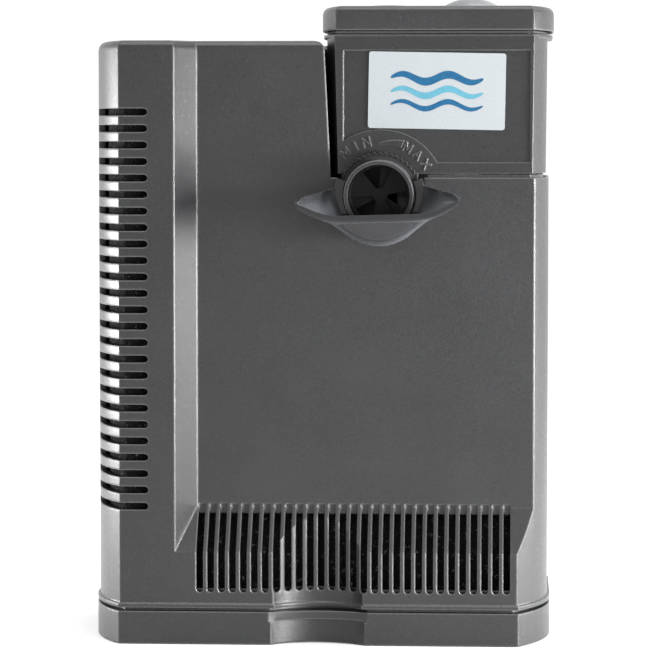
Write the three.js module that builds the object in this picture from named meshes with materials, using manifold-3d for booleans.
// Compact internal aquarium filter: a housing with side slots and a foot grille, a pull-down
// media tray, and a lift-out pump head with a flow dial and a swivelling spray scoop.
// Millimetres. +X is the viewer's right, +Y runs back towards the glass, +Z is up.
import * as THREE from 'three'
import { mergeVertices } from 'three/addons/utils/BufferGeometryUtils.js'
import Module from 'manifold-3d'

const wasm = await Module()
wasm.setup()

// ---------- driving dimensions ----------
const WALL = 2.2 // moulded wall
const GAP = 0.3 // clearance between neighbouring parts

// Housing plan: flat front, sides bulging out over the first 30 mm of depth
const BODY = { front: -36, back: 33, leftFront: -62, rightFront: 62, left: -71.5, right: 71.5, run: 30 }
const SHELL_BOTTOM = 11.3
const SHELL_TOP = 188
const TOP_FILLET = 2.6
const BEAD = { out: 0.8, height: 1.3 }

// Recessed front panel, framed by a bevel on the left and a sloped skirt below
const PANEL_Y = -27
const BEVEL_X = { front: -44.7, panel: -38.5 }
const SKIRT_Z = { front: 28.8, panel: 42.2 }

// Intake slots round the left side, and the grille in the skirt
const SLOT = { count: 25, firstZ: 43, pitch: 5.117, height: 2.2, endX: -53, backY: -11 }
const GRILLE = { count: 29, firstX: -37, pitch: 3.418, width: 2.15, bottomZ: 16.1, topZ: 39.9, groove: 43 }

// Finger scallop at the foot of the housing and tray
const SCALLOP = { half: 14, shell: 7, lip: 3, tray: 6 }

// Bay that the pump head drops into: a leaning, bulged left wall and a deck
const BAY = { deckZ: 145.4, top: { leftFront: 1.4, left: -0.5 }, low: { leftFront: 3.5, left: 0.8 } }

// Rear panel and its suction cups
const REAR = { front: 33.3, back: 36 }
const CUP_SPOTS = [[46.2, 186.7], [-46, 150], [-46, 35], [46, 35]]
const CUP_HOLE = 3.5

// Pump head
const PUMP = { front: -27, back: 29.5, leftFront: 4.65, rightFront: 66.7, left: 1.2, right: 71, run: 22 }
const CASING_Z = { bottom: 146.7, flange: 189, top: 190 }
const CAVITY_FLOOR = 152.2
const LID = { front: -27, back: 30.3, leftFront: 5, rightFront: 66.7, left: -0.3, right: 73, run: 24 }
const LID_Z = { bottom: 191.2, top: 198.8 }
const SEAL_Z = { bottom: 190.3, top: 190.9 }
const LABEL = { x: 36.5, z: 172.4, width: 42.6, height: 23.8, tilt: -1 }

// Motor: vertical rotor in a closed well, impeller below it
const AXIS = { x: 36, y: -4 }
const WELL = { inner: 7.8, outer: 9.3, top: 175.6 }
const CHAMBER = { radius: 18, floor: 128.4, top: 143 }
const ROTOR = { radius: 7, bottom: 145.8, top: 174.4 }
const SHAFT_RADIUS = 1
const EAR_ANGLES = [-30, 35, 100, 165]
const EAR_REACH = 22.5

// Outlet: centre line, bore, dial and scoop, all on one axis along Y
const OUT = { x: 19, z: 140.1, bore: 9.5, boss: 12.4, bossY: -28.5 }
const DIAL = { knurl: 13.4, teeth: 46, back: -28.8, front: -33, tube: 10.8, tip: -42 }
// Open-topped snap collar of the scoop: it grips the dial's tube over the rest of the circle
const COLLAR = { inner: 11.1, outer: 14.2, back: -33.4, front: -36, openFrom: 22, openTo: 158 }
const SCOOP_WALL = 1.6

// ---------- modelling helpers ----------
const rad = (deg) => (deg * Math.PI) / 180
const range = (n) => Array.from({ length: n }, (_, i) => i)

// Turns a three.js geometry into a closed solid facing outwards
function solid(geometry) {
  geometry.deleteAttribute('normal')
  geometry.deleteAttribute('uv')
  const g = mergeVertices(geometry, 1e-4)
  const p = g.attributes.position.array
  const tris = []
  let volume = 0
  for (let i = 0; i < g.index.count; i += 3) {
    const [a, b, c] = [g.index.array[i], g.index.array[i + 1], g.index.array[i + 2]]
    if (a === b || b === c || c === a) continue
    const [A, B, C] = [a, b, c].map((k) => new THREE.Vector3().fromArray(p, 3 * k))
    volume += A.dot(B.cross(C))
    tris.push([a, b, c])
  }
  const facing = volume < 0 ? tris.map(([a, b, c]) => [a, c, b]) : tris
  return new wasm.Manifold(new wasm.Mesh({
    numProp: 3, vertProperties: new Float32Array(p), triVerts: new Uint32Array(facing.flat()),
  }))
}

function box(x0, x1, y0, y1, z0, z1) {
  const g = new THREE.BoxGeometry(x1 - x0, y1 - y0, z1 - z0)
  return solid(g.translate((x0 + x1) / 2, (y0 + y1) / 2, (z0 + z1) / 2))
}

// Prism of an outline [[a, b], ...] between two levels, along Z or Y
function prism(outline, lo, hi, along = 'z') {
  const shape = new THREE.Shape(outline.map(([a, b]) => new THREE.Vector2(a, b)))
  const g = new THREE.ExtrudeGeometry(shape, { depth: hi - lo, bevelEnabled: false })
  g.translate(0, 0, lo)
  if (along === 'y') g.applyMatrix4(new THREE.Matrix4().set(1, 0, 0, 0, 0, 0, 1, 0, 0, 1, 0, 0, 0, 0, 0, 1))
  return solid(g)
}

// Solid through matching rings of points; the two end rings are capped flat
function loft(rings) {
  const n = rings[0].length
  const index = []
  rings.slice(1).forEach((_, k) => range(n).forEach((i) => {
    const [a, b] = [k * n + i, k * n + ((i + 1) % n)]
    index.push(a, b, b + n, a, b + n, a + n)
  }))
  for (const [k, flip] of [[0, true], [rings.length - 1, false]]) {
    const flat = rings[k].map(([x, y]) => new THREE.Vector2(x, y))
    for (const [a, b, c] of THREE.ShapeUtils.triangulateShape(flat, [])) {
      index.push(...(flip ? [c, b, a] : [a, b, c]).map((i) => k * n + i))
    }
  }
  const g = new THREE.BufferGeometry()
  g.setAttribute('position', new THREE.Float32BufferAttribute(rings.flat(2), 3))
  g.setIndex(index)
  return solid(g)
}

const ringAt = (outline, z) => outline.map(([x, y]) => [x, y, z])
const arc = (cx, cy, r, from, to, steps) => range(steps + 1).map((i) => {
  const t = rad(from + ((to - from) * i) / steps)
  return [cx + r * Math.cos(t), cy + r * Math.sin(t)]
})
const circle = (cx, cy, r, n) => arc(cx, cy, r, 0, 360 - 360 / n, n - 1)

// Round bar and tube along Z or Y
const bar = (cx, cy, r, lo, hi, n = 32, along = 'z') => prism(circle(cx, cy, r, n), lo, hi, along)
const tube = (cx, cy, outer, inner, lo, hi, n = 32, along = 'z') =>
  bar(cx, cy, outer, lo, hi, n, along).subtract(bar(cx, cy, inner, lo - 1, hi + 1, n, along))

// Body of revolution about a line along Y, from a closed [radius, y] profile
function turnedY(cx, cz, profile, n = 20) {
  const points = [...profile, profile[0]].map(([r, y]) => new THREE.Vector2(r, y))
  return solid(new THREE.LatheGeometry(points, n).translate(cx, 0, cz))
}

// Plan outline: flat front, bulged sides that run straight to a back with rounded corners
function plan(spec, grow = 0, corner = 4, steps = 6) {
  const side = (sign, frontX, farX) => {
    const bulge = sign * (farX - frontX)
    const radius = (bulge ** 2 + spec.run ** 2) / (2 * bulge)
    const cy = spec.front + spec.run
    const start = -Math.asin((spec.run + grow) / (radius + grow))
    const points = range(steps + 1).map((i) => {
      const t = start * (1 - i / steps)
      return [farX - sign * radius + sign * (radius + grow) * Math.cos(t), cy + (radius + grow) * Math.sin(t)]
    })
    const r = Math.max(corner + grow, 0.3)
    const [kx, ky] = [farX + sign * (grow - r), spec.back + grow - r]
    range(3).forEach((i) => {
      const t = (Math.PI / 4) * i
      points.push([kx + sign * r * Math.cos(t), ky + r * Math.sin(t)])
    })
    return points
  }
  return [...side(1, spec.rightFront, spec.right), ...side(-1, spec.leftFront, spec.left).reverse()]
}

// Block on a plan outline with a rounded top edge
const filleted = (spec, z0, z1, r, corner) => loft(
  [[z0, 0], [z1 - r, 0], [z1 - 0.5 * r, 0.14 * r], [z1 - 0.15 * r, 0.48 * r], [z1, r]]
    .map(([z, inset]) => ringAt(plan(spec, -inset, corner), z)))

const group = new THREE.Group()
group.name = 'internal_aquarium_filter'

function node(name, body, color, roughness = 0.55) {
  const mesh = body.getMesh()
  const g = new THREE.BufferGeometry()
  g.setAttribute('position', new THREE.BufferAttribute(new Float32Array(mesh.vertProperties), 3))
  g.setIndex(Array.from(mesh.triVerts))
  g.computeVertexNormals()
  const material = new THREE.MeshStandardMaterial({ color, roughness })
  material.name = name
  const part = new THREE.Mesh(g, material)
  part.name = name
  group.add(part)
}

const ANTHRACITE = 0x505153
const STEEL = 0xb9bcc0
const CERAMIC = 0xe9e6dd
const COPPER = 0xb06a35
const SILICONE = 0xc9ced2
const SEAL_BLACK = 0x1b1c1e

// ---------- cutting shapes shared by the housing and what it holds ----------

// [drop below the shell's top, share of the fillet cut away] down a rounded top edge
const ROUNDED_TOP = [[TOP_FILLET, 0], [0.5 * TOP_FILLET, 0.14], [0.15 * TOP_FILLET, 0.48], [0, 1], [-2, 1]]

// Space in front of the recessed panel, its bevel and its skirt slope, offset inwards by w
function recess(w) {
  const bevelRun = (BEVEL_X.panel - BEVEL_X.front) / (PANEL_Y - BODY.front)
  const skirtRun = (SKIRT_Z.panel - SKIRT_Z.front) / (PANEL_Y - BODY.front)
  const bevelX = (y) => BEVEL_X.panel + bevelRun * (y - PANEL_Y) - w * Math.hypot(1, bevelRun)
  const slopeZ = (y) => SKIRT_Z.panel + skirtRun * (y - PANEL_Y) - w * Math.hypot(1, skirtRun)
  const [near, far] = [PANEL_Y - 14, PANEL_Y + w]
  const corners = (y) => [[bevelX(y), y, slopeZ(y)], [110, y, slopeZ(y)], [110, y, 205], [bevelX(y), y, 205]]
  const [a, b] = [corners(near), corners(far)]
  let shape = loft([[a[0], a[1], b[1], b[0]], [a[3], a[2], b[2], b[3]]])
  if (w === 0) {
    shape = shape.add(loft(ROUNDED_TOP.map(([drop, share]) => {
      const inset = share * TOP_FILLET
      const x = (y) => bevelX(y) - inset * Math.hypot(1, bevelRun)
      return ringAt([[x(near), near], [110, near], [110, far + inset], [x(far + inset), far + inset]],
        SHELL_TOP - drop)
    })))
  }
  return shape
}

// Space of the pump bay, offset outwards by w; its top edge is rounded when w is 0
function bay(w) {
  const outline = (z, inset) => {
    const t = (SHELL_TOP - z) / (SHELL_TOP - BAY.deckZ)
    const shift = w + inset
    const at = (key) => BAY.top[key] + (BAY.low[key] - BAY.top[key]) * t - shift
    const spec = { front: PANEL_Y, run: 22, back: 60, leftFront: at('leftFront'), left: at('left'),
      rightFront: 100, right: 110 }
    const left = plan(spec, 0, 1).slice(10)
    return ringAt([...left, [at('leftFront'), -60], [110, -60], [110, 60]], z)
  }
  let space = loft([outline(BAY.deckZ - w, 0), outline(205, 0)])
  if (w === 0) {
    space = space.add(loft(ROUNDED_TOP.map(([drop, share]) => outline(SHELL_TOP - drop, share * TOP_FILLET))))
  }
  return space
}

// Concave finger scallop, offset inwards by w
function scallop(depth, w, z0, z1) {
  const radius = (SCALLOP.half ** 2 + depth ** 2) / (2 * depth)
  return bar(0, BODY.front + depth - radius, radius + w, z0, z1, 48)
}

// ---------- housing ----------

let shell = filleted(BODY, SHELL_BOTTOM, SHELL_TOP, TOP_FILLET, 1)
  .add(prism(plan(BODY, BEAD.out, 1), SHELL_BOTTOM, SHELL_BOTTOM + BEAD.height))
  .subtract(box(-80, 80, BODY.back, 60, 0, 200))
  .subtract(recess(0)).subtract(bay(0))
  .subtract(scallop(SCALLOP.shell, 0, 12.5, 60)).subtract(scallop(SCALLOP.shell, -BEAD.out, 0, 12.6))
const hollow = prism(plan({ ...BODY, back: 60 }, -WALL, 1), 0, SHELL_TOP - WALL - 0.2)
  .subtract(recess(WALL)).subtract(bay(WALL))
  .subtract(scallop(SCALLOP.shell, WALL, -1, 60))
shell = shell.subtract(hollow)

// Slots from the front left column round onto the side
for (const i of range(SLOT.count)) {
  const z = SLOT.firstZ + SLOT.pitch * i
  const r = SLOT.height / 2
  const end = arc(SLOT.endX - r, z, r, -90, 90, 4)
  shell = shell.subtract(prism([[-90, z - r], ...end, [-90, z + r]], -50, SLOT.backY, 'y'))
}
// Grille slots with rounded feet; above each, a shallow groove runs out over the top of the skirt
for (const i of range(GRILLE.count)) {
  const x = GRILLE.firstX + GRILLE.pitch * i
  const r = GRILLE.width / 2
  const foot = arc(x, GRILLE.bottomZ + r, r, 180, 360, 4)
  shell = shell.subtract(prism([...foot, [x + r, GRILLE.topZ], [x - r, GRILLE.topZ]], -50, -20, 'y'))
    .subtract(box(x - r, x + r, -50, PANEL_Y + 0.8, GRILLE.topZ - 0.5, GRILLE.groove))
}
// Deck opening for the pump's lower block, the notch round the outlet, and the ledge the pump rests on
const DECK_HOLE = { left: 6.3, right: 60.6, front: PANEL_Y + WALL - 0.6, back: 23 }
const NOTCH = 13.6
shell = shell
  .subtract(box(DECK_HOLE.left, DECK_HOLE.right, DECK_HOLE.front, DECK_HOLE.back, 138, 150))
  .subtract(prism([...arc(OUT.x, OUT.z, NOTCH, 180, 360, 16), [OUT.x + NOTCH, 160], [OUT.x - NOTCH, 160]],
    -50, -20, 'y'))
const pumpLow = { ...PUMP, leftFront: 5.85, left: 2.4, rightFront: 66.3, right: 70.6 }
const ledge = prism(plan(pumpLow, -0.9, 3), BAY.deckZ - 0.5, CASING_Z.bottom - GAP)
  .subtract(prism(plan(pumpLow, -1.7, 2), 140, 150))
  .intersect(box(OUT.x + NOTCH + 1, 80, -40, 40, 140, 150))
shell = shell.add(ledge).add(box(10, 14, 25.5, 28.5, BAY.deckZ - 0.5, CASING_Z.bottom - GAP))
node('housing_shell', shell, ANTHRACITE)

// Rear panel: closes the back, carries the cups and stands up behind the pump
const rearOutline = [[-71.2, 16], [-66.8, 11.6], [66.8, 11.6], [71.2, 16], [71.2, 145], [66, 147.5],
  [66, 193], [62, 197], [10, 197], [6, 193], [6, 187.8], [-67.5, 187.8], [-71.2, 184]]
let rear = prism(rearOutline, REAR.front, REAR.back, 'y')
  .add(box(-68.8, -67.2, 30.4, REAR.front + 0.5, 20, 180))
  .add(box(67.2, 68.8, 30.4, REAR.front + 0.5, 20, 138))
  .add(box(-64, -4, 30.4, REAR.front + 0.5, 183.4, 185.2))
for (const [x, z] of CUP_SPOTS) rear = rear.subtract(bar(x, z, CUP_HOLE, 32, 38, 24, 'y'))
node('rear_panel', rear, ANTHRACITE)

const CUP_PROFILE = [[0, 31], [5.2, 31], [5.2, 33], [3.2, 33], [3.2, 36.3], [7, 36.3], [11.5, 37.4],
  [15, 39.8], [17, 43.2], [17, 44], [16.3, 44], [13.6, 41], [10, 39.4], [0, 38.9]]
CUP_SPOTS.forEach(([x, z], i) => {
  node(`suction_cup_${i + 1}`, turnedY(x, z, CUP_PROFILE), SILICONE, 0.25)
})

// Divider and shelf inside the housing: the pump's spigot plugs into the shelf
const DOCK = { bottom: 116, top: 119, hole: 12.3, lip: 10.6, lipTop: 117 }
let dock = box(-3.5, 64.4, -24.1, 32.4, DOCK.bottom, DOCK.top)
  .add(box(-3.5, -1.5, -18.6, 32.4, 20, 142.6))
  .subtract(bar(AXIS.x, AXIS.y, DOCK.lip, 110, 125, 28))
  .subtract(bar(AXIS.x, AXIS.y, DOCK.hole, DOCK.lipTop, 125, 28))
for (const z of [26, 56, 86]) dock = dock.subtract(box(-5, 0, -14, 22, z, z + 22))
node('pump_dock', dock, ANTHRACITE)
node('dock_seal', tube(AXIS.x, AXIS.y, 12, 10.3, DOCK.lipTop + 0.2, DOCK.top - 0.1, 28), SEAL_BLACK, 0.8)

// ---------- media tray, pulled down out of the housing ----------
const TRAY_TOP = 10.2
const trayPlan = { ...BODY, back: 35.6 }
const rimPlan = { ...BODY, back: 35.4 }
let tray = prism(plan(trayPlan, BEAD.out, 4), 0, TRAY_TOP)
  .subtract(scallop(SCALLOP.tray, 0, -1, 7.6)).subtract(scallop(SCALLOP.lip, 0, 7, 12))
  .add(prism(plan(rimPlan, -WALL - GAP, 2), TRAY_TOP - 2, 17)
    .subtract(scallop(SCALLOP.shell, WALL + GAP, -1, 20)))
  .subtract(prism(plan(rimPlan, -WALL - GAP - 2, 2), 2, 20)
    .subtract(scallop(SCALLOP.shell, WALL + GAP + 2, -1, 20)))
node('base_tray', tray, ANTHRACITE)

// Foam fills the plan up to `inset` from the housing's outside, between two X limits
const foamBlock = (inset, x0, x1, z0, z1) => prism(plan({ ...BODY, back: 29.8 + inset }, -inset, 3, 5), z0, z1)
  .intersect(box(x0, x1, -40, 40, 0, 190)).subtract(box(-100, 100, -60, -31.1, 0, 17.6))
const FOAM = { bottom: 2.4, step: 17.4, inRim: 5, inShell: 2.6 }
const foamUpTo = (x0, x1, top) => foamBlock(FOAM.inRim, x0, x1, FOAM.bottom, FOAM.step + 1)
  .add(foamBlock(FOAM.inShell, x0, x1, FOAM.step, top))
const bevelClear = prism([[-48, -36], [-39.9, -24.2], [80, -24.2], [80, -36]], 0, 190)
// The side block turns the corner in front of the housing's divider, up to the lower block
const sideFoam = foamUpTo(-70, -3.9, 181).add(foamUpTo(-5, -1.5, 60).intersect(box(-6, 0, -40, -19, 0, 70)))
node('foam_side', sideFoam.subtract(bevelClear), 0x25272a, 0.95)
node('foam_lower', foamUpTo(-1.1, 70, 60).subtract(bevelClear), 0x25272a, 0.95)

// Cartridge: an open frame with a barred floor, holding a carbon pad
const CARTRIDGE = { x0: 1.5, x1: 62.5, y0: -23.6, y1: 29.2, z0: 61, z1: 84 }
let cartridge = box(CARTRIDGE.x0, CARTRIDGE.x1, CARTRIDGE.y0, CARTRIDGE.y1, CARTRIDGE.z0, CARTRIDGE.z1)
  .subtract(box(CARTRIDGE.x0 + 1.6, CARTRIDGE.x1 - 1.6, CARTRIDGE.y0 + 1.6, CARTRIDGE.y1 - 1.6,
    CARTRIDGE.z0 + 1.8, 90))
for (const i of range(6)) {
  const x = CARTRIDGE.x0 + 4.2 + 9.2 * i
  cartridge = cartridge.subtract(box(x, x + 6.4, CARTRIDGE.y0 + 4, CARTRIDGE.y1 - 4, 55, 66))
}
node('cartridge_frame', cartridge, 0x2d4f63, 0.5)
node('carbon_pad', box(CARTRIDGE.x0 + 2.1, CARTRIDGE.x1 - 2.1, CARTRIDGE.y0 + 2.1, CARTRIDGE.y1 - 2.1,
  CARTRIDGE.z0 + 2.1, CARTRIDGE.z1 - 1.5), 0x16171a, 0.95)

// ---------- pump head ----------
const pumpRings = loft([ringAt(plan(pumpLow, 0, 3), CASING_Z.bottom),
  ringAt(plan(PUMP, 0, 3), CASING_Z.flange + 0.5)])
const ears = (r, z0, z1) => EAR_ANGLES.map((deg) => bar(AXIS.x + EAR_REACH * Math.cos(rad(deg)),
  AXIS.y + EAR_REACH * Math.sin(rad(deg)), r, z0, z1, 12))
const onOutlet = (r, y0, y1, n = 32) => bar(OUT.x, OUT.z, r, y0, y1, n, 'y')

let casing = pumpRings
  .add(prism(plan(LID, -0.4, 5), CASING_Z.flange, CASING_Z.top))
  .add(bar(AXIS.x, AXIS.y, 20.5, CHAMBER.floor, CASING_Z.bottom + 1, 28))
  .add(box(OUT.x - 11.7, OUT.x + 11.7, -24.4, 2, CHAMBER.floor, CASING_Z.bottom + 1))
  .add(onOutlet(OUT.boss, OUT.bossY, -20, 40))
for (const ear of ears(3.6, CHAMBER.floor, CASING_Z.bottom + 1)) casing = casing.add(ear)
// Motor space above, with the rotor's well standing in it
const motorSpace = loft([ringAt(plan(pumpLow, -WALL, 2), CAVITY_FLOOR), ringAt(plan(PUMP, -WALL, 2), 195)])
  .subtract(bar(AXIS.x, AXIS.y, WELL.outer, 140, 180, 24))
casing = casing.subtract(motorSpace)
  .subtract(bar(AXIS.x, AXIS.y, WELL.inner, 140, WELL.top, 24))
  .subtract(bar(AXIS.x, AXIS.y, 3.3, 170, 178.2, 12))
  .subtract(bar(AXIS.x, AXIS.y, CHAMBER.radius, 120, CHAMBER.top, 28))
  .subtract(onOutlet(OUT.bore, -40, -6, 32))
  .subtract(onOutlet(11.3, -40, -26.6, 32))
for (const hole of ears(1.5, 120, 139)) casing = casing.subtract(hole)

// Label field: a shallow panel whose lower left corner is bitten out round the dial
const FIELD = { left: 7.4, right: 65.6, top: 185, bottom: 150.1, depth: 0.9, bite: 20.3 }
casing = casing.subtract(box(FIELD.left, FIELD.right, -40, PUMP.front + FIELD.depth, FIELD.bottom, FIELD.top)
  .subtract(onOutlet(FIELD.bite, -50, 0, 64)))

// Raised dial lettering and the growing wedge between the two words
const LETTERS = {
  M: [[0, 0, 0, 1], [0, 1, 0.5, 0.35], [0.5, 0.35, 1, 1], [1, 1, 1, 0]],
  I: [[0.5, 0, 0.5, 1]],
  N: [[0, 0, 0, 1], [0, 1, 1, 0], [1, 0, 1, 1]],
  A: [[0, 0, 0.5, 1], [0.5, 1, 1, 0], [0.22, 0.35, 0.78, 0.35]],
  X: [[0, 0, 1, 1], [0, 1, 1, 0]],
}
const SCALE_RADIUS = 16.9
const SCALE_MARKS = [['M', 130], ['I', 117], ['N', 105], ['M', 60], ['A', 47], ['X', 34]]
const RAISED = [PUMP.front - 0.5, PUMP.front + 0.3]
for (const [letter, deg] of SCALE_MARKS) {
  const turn = rad(deg - 90)
  const place = (u, v) => {
    const [a, b] = [(u - 0.5) * 2.1, (v - 0.5) * 2.6 + SCALE_RADIUS]
    return [OUT.x + a * Math.cos(turn) - b * Math.sin(turn), OUT.z + a * Math.sin(turn) + b * Math.cos(turn)]
  }
  for (const [u0, v0, u1, v1] of LETTERS[letter]) {
    const [p, q] = [place(u0, v0), place(u1, v1)]
    const length = Math.hypot(q[0] - p[0], q[1] - p[1])
    const [tx, tz] = [(q[0] - p[0]) / length, (q[1] - p[1]) / length]
    const corner = (end, along, across) =>
      [end[0] + 0.25 * (along * tx - across * tz), end[1] + 0.25 * (along * tz + across * tx)]
    const stroke = [corner(p, -1, -1), corner(q, 1, -1), corner(q, 1, 1), corner(p, -1, 1)]
    casing = casing.add(prism(stroke, ...RAISED, 'y'))
  }
}
const wedge = [...arc(OUT.x, OUT.z, 15.8, 92, 66, 5), ...range(6).map((i) => {
  const [r, t] = [18.4 - 2.3 * (i / 5), rad(66 + 26 * (i / 5))]
  return [OUT.x + r * Math.cos(t), OUT.z + r * Math.sin(t)]
})]
node('pump_casing', casing.add(prism(wedge, ...RAISED, 'y')), ANTHRACITE)

// Label plate lying in the field, tilted a degree
const tilt = rad(LABEL.tilt)
const labelOutline = [[1, -1, -90], [1, 1, 0], [-1, 1, 90], [-1, -1, 180]].flatMap(([sx, sz, from]) =>
  arc(sx * (LABEL.width / 2 - 0.8), sz * (LABEL.height / 2 - 0.8), 0.8, from, from + 90, 3))
  .map(([a, b]) => [
    LABEL.x + a * Math.cos(tilt) - b * Math.sin(tilt),
    LABEL.z + a * Math.sin(tilt) + b * Math.cos(tilt),
  ])
node('label_plate', prism(labelOutline, -26.9, -26.35, 'y'), 0xd7dee2, 0.3)

// Lid with a plug rim that drops into the casing, the seal band between them, and the cable gland
const GLAND = { x: 20, y: 19, hole: 4.4 }
const band = (outer, inner, z0, z1) => prism(plan(PUMP, -outer, 3), z0, z1)
  .subtract(prism(plan(PUMP, -inner, 2), z0 - 1, z1 + 1))
const lid = filleted(LID, LID_Z.bottom, LID_Z.top, 2.2, 5)
  .subtract(prism(plan(LID, -4.5, 3), 180, LID_Z.top - 2.4)
    .intersect(prism(plan(PUMP, -WALL - GAP - 1.8, 2), 180, 200)))
  .add(band(WALL + GAP, WALL + GAP + 1.8, 185.5, LID_Z.bottom + 0.5))
  .subtract(bar(GLAND.x, GLAND.y, GLAND.hole, 190, 205, 20))
node('pump_lid', lid, ANTHRACITE)
node('lid_seal', band(0.35, WALL - 0.1, SEAL_Z.bottom, SEAL_Z.top), SEAL_BLACK, 0.8)
node('cable_gland', bar(GLAND.x, GLAND.y, 4.1, 190.5, LID_Z.top + 0.5, 20)
  .add(bar(GLAND.x, GLAND.y, 6, LID_Z.top + 0.2, LID_Z.top + 1.5, 20))
  .subtract(bar(GLAND.x, GLAND.y, 2.7, 194.8, 205, 16)), SEAL_BLACK, 0.8)

// Stator: a laminated U whose horns embrace the well, with a coil on each leg
const coreOutline = [[19.5, -12], [52.5, -12], [52.5, 27], [19.5, 27]]
const core = prism(coreOutline, 160, 177)
  .subtract(box(26.5, 45.5, 4.5, 20.5, 150, 190)).subtract(box(33.5, 38.5, -20, 10, 150, 190))
  .subtract(bar(AXIS.x, AXIS.y, WELL.outer + 0.4, 150, 190, 24))
node('stator_core', core, STEEL, 0.4)
for (const [name, cx] of [['coil_left', 23], ['coil_right', 49]]) {
  const winding = [[cx - 7.4, 7.2], [cx + 7.4, 7.2], [cx + 7.4, 18.8], [cx - 7.4, 18.8]]
  const leg = box(cx - 3.9, cx + 3.9, 5, 22, 159.6, 177.4)
  node(name, prism(winding, 155.5, 181.5).subtract(leg), COPPER, 0.4)
}

// Volute cover with its intake spigot and bearing spider, gasket, screws
const spigot = tube(AXIS.x, AXIS.y, 10, 8, 112, 125, 28)
let cover = tube(AXIS.x, AXIS.y, 20.4, 8, 124.4, 127.2, 28).add(spigot)
for (const ear of ears(3.6, 124.4, 127.2)) cover = cover.add(ear)
const spider = [0, 120, 240].map((deg) => {
  const [c, s] = [Math.cos(rad(deg)), Math.sin(rad(deg))]
  const at = (along, across) => [AXIS.x + along * c - across * s, AXIS.y + along * s + across * c]
  return prism([at(2, -0.8), at(9, -0.8), at(9, 0.8), at(2, 0.8)], 124.4, 127)
})
for (const arm of spider) cover = cover.add(arm)
cover = cover.add(bar(AXIS.x, AXIS.y, 4.2, 124.4, 127, 12)).subtract(bar(AXIS.x, AXIS.y, 3.1, 120, 130, 12))
for (const hole of ears(1.5, 120, 130)) cover = cover.subtract(hole)
node('volute_cover', cover, ANTHRACITE)
node('volute_seal', tube(AXIS.x, AXIS.y, 20.2, 18.4, 127.4, 128.2, 28), SEAL_BLACK, 0.8)
ears(1.2, 123.5, 137).map((shank, i) => node(`cover_screw_${i + 1}`,
  shank.add(ears(2.7, 122.2, 124.1)[i]), STEEL, 0.3))

// Rotor magnet, impeller, fixed ceramic shaft and its two bushes
const onAxis = (r, z0, z1, n = 24) => bar(AXIS.x, AXIS.y, r, z0, z1, n)
node('rotor_magnet', onAxis(ROTOR.radius, ROTOR.bottom, ROTOR.top)
  .subtract(onAxis(SHAFT_RADIUS + 0.35, 140, 180, 12)), 0x2e2f31, 0.5)
let impeller = onAxis(12.6, 139, 140.6).add(onAxis(4.6, 129.8, ROTOR.bottom - GAP, 20))
for (const i of range(6)) {
  const t = rad(60 * i)
  const at = (along, across) => [AXIS.x + along * Math.cos(t) - across * Math.sin(t),
    AXIS.y + along * Math.sin(t) + across * Math.cos(t)]
  impeller = impeller.add(prism([at(3, -0.6), at(12.6, -0.6), at(12.6, 0.6), at(3, 0.6)], 130.6, 139.5))
}
node('impeller', impeller.subtract(onAxis(SHAFT_RADIUS + 0.35, 120, 150, 12)), 0xd8dadc, 0.4)
node('rotor_shaft', onAxis(SHAFT_RADIUS, 125, 177, 12), CERAMIC, 0.2)
node('bush_top', onAxis(3, 175, 177.9, 12).subtract(onAxis(SHAFT_RADIUS + 0.3, 170, 177.4, 12)),
  SEAL_BLACK, 0.7)
node('bush_bottom', onAxis(2.8, 124.5, 127.3, 12).subtract(onAxis(SHAFT_RADIUS + 0.3, 124.7, 130, 12)),
  SEAL_BLACK, 0.7)

// ---------- outlet: fixed window plate, turning dial, swivelling scoop ----------
// Three 60 degree windows, centred on the given angle and its thirds
const windows = (deg, y0, y1) => [0, 120, 240].map((step) => {
  const mid = deg + step
  const outer = arc(OUT.x, OUT.z, 8.7, mid - 30, mid + 30, 6)
  return prism([...outer, ...arc(OUT.x, OUT.z, 2.4, mid + 24, mid - 24, 3)], y0, y1, 'y')
})
let plate = onOutlet(11, -28.2, -26.9)
for (const hole of windows(119, -40, -20)) plate = plate.subtract(hole)
node('shutter_plate', plate, 0x2a2b2d)

const knurls = range(DIAL.teeth * 2).map((i) => {
  const [r, t] = [i % 2 ? DIAL.knurl : DIAL.knurl - 0.7, (i * Math.PI) / DIAL.teeth]
  return [OUT.x + r * Math.cos(t), OUT.z + r * Math.sin(t)]
})
let dial = prism(knurls, DIAL.front, DIAL.back, 'y').add(onOutlet(DIAL.tube, DIAL.tip, DIAL.front + 1, 36))
  .subtract(onOutlet(OUT.bore, -50, DIAL.back - 1.5, 36))
for (const hole of windows(97, -40, -20)) dial = dial.subtract(hole)
node('flow_dial', dial, 0x2f3032)

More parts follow.
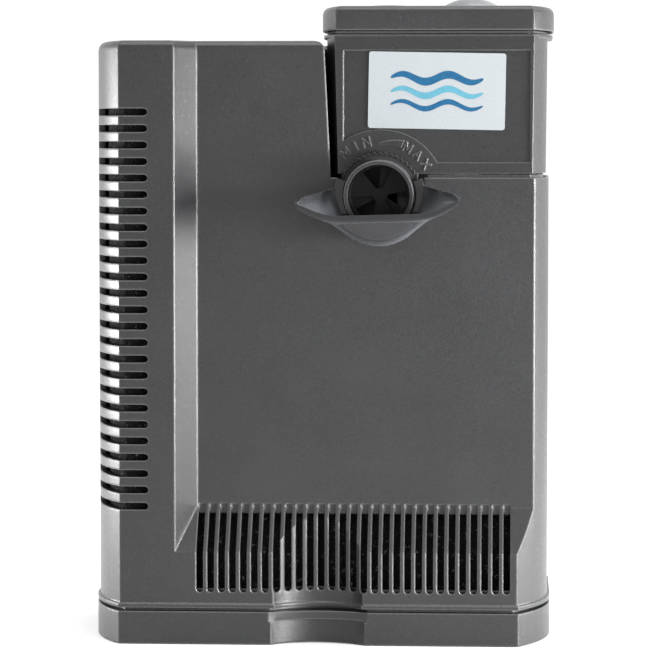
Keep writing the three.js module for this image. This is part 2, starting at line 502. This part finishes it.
// Scoop: sections from the collar out to the wide shallow lip. Each half section is a list of
// [across, up] points of the outer skin from the keel to the wing tip, from the outlet's centre.
const SCOOP = [
  [-33.8, [0, 3.6, 7, 9.9, 12, 13.3, 13.9, 13.7], [-13.8, -13.3, -11.9, -9.6, -6.7, -3.4, 0.2, 2.4]],
  [-37.5, [0, 4, 7.8, 11, 13.4, 15, 15.3, 15.2], [-14.8, -14.3, -12.6, -10, -6.8, -3.2, 0.4, 2.4]],
  [-42, [0, 4.3, 8.3, 11.8, 14.8, 17.4, 19, 19.6], [-15.6, -15, -13.2, -10.4, -7.4, -4.4, -1.4, 1]],
  [-46, [0, 4.5, 8.8, 12.8, 16.6, 20, 22.4, 23], [-13.2, -12.8, -11.5, -9.5, -7.2, -4.7, -2.2, 0.2]],
  [-49.6, [0, 4.6, 9.2, 13.6, 18, 22.2, 25.2, 25], [-9.7, -9.7, -9.6, -9.2, -8.1, -6.2, -3.8, -1.2]],
  [-50.2, [0, 4.6, 9.2, 13.6, 18, 22.2, 25.4, 25], [-7.6, -7.6, -7.6, -7.4, -6.5, -4.9, -2.9, -0.8]],
]
const scoopRing = ([y, across, up]) => {
  const skin = across.map((u, i) => [u, up[i]])
  const outer = [...skin.slice(1).reverse().map(([u, v]) => [-u, v]), ...skin]
  const inner = outer.map(([u, v], i) => {
    const [a, b] = [outer[Math.max(i - 1, 0)], outer[Math.min(i + 1, outer.length - 1)]]
    const length = Math.hypot(b[0] - a[0], b[1] - a[1])
    return [u - (SCOOP_WALL * (b[1] - a[1])) / length, v + (SCOOP_WALL * (b[0] - a[0])) / length]
  })
  return [...outer, ...inner.reverse()].map(([u, v]) => [u, v, y])
}
const lean = rad(1.5)
const leaning = [Math.cos(lean), 0, Math.sin(lean), 0, -Math.sin(lean), 0, Math.cos(lean), 0, 0, 1, 0, 0,
  OUT.x, 0, OUT.z, 1]
const collar = prism([
  ...arc(0, 0, COLLAR.outer, COLLAR.openTo - 360, COLLAR.openFrom, 30),
  ...arc(0, 0, COLLAR.inner, COLLAR.openFrom, COLLAR.openTo - 360, 30),
], COLLAR.front, COLLAR.back, 'y').translate(OUT.x, 0, OUT.z)
node('spray_nozzle', loft(SCOOP.map(scoopRing)).transform(leaning).add(collar)
  .subtract(onOutlet(COLLAR.inner, COLLAR.front - 1, COLLAR.back + 1, 36)), 0x4a4d50, 0.2)

export default group
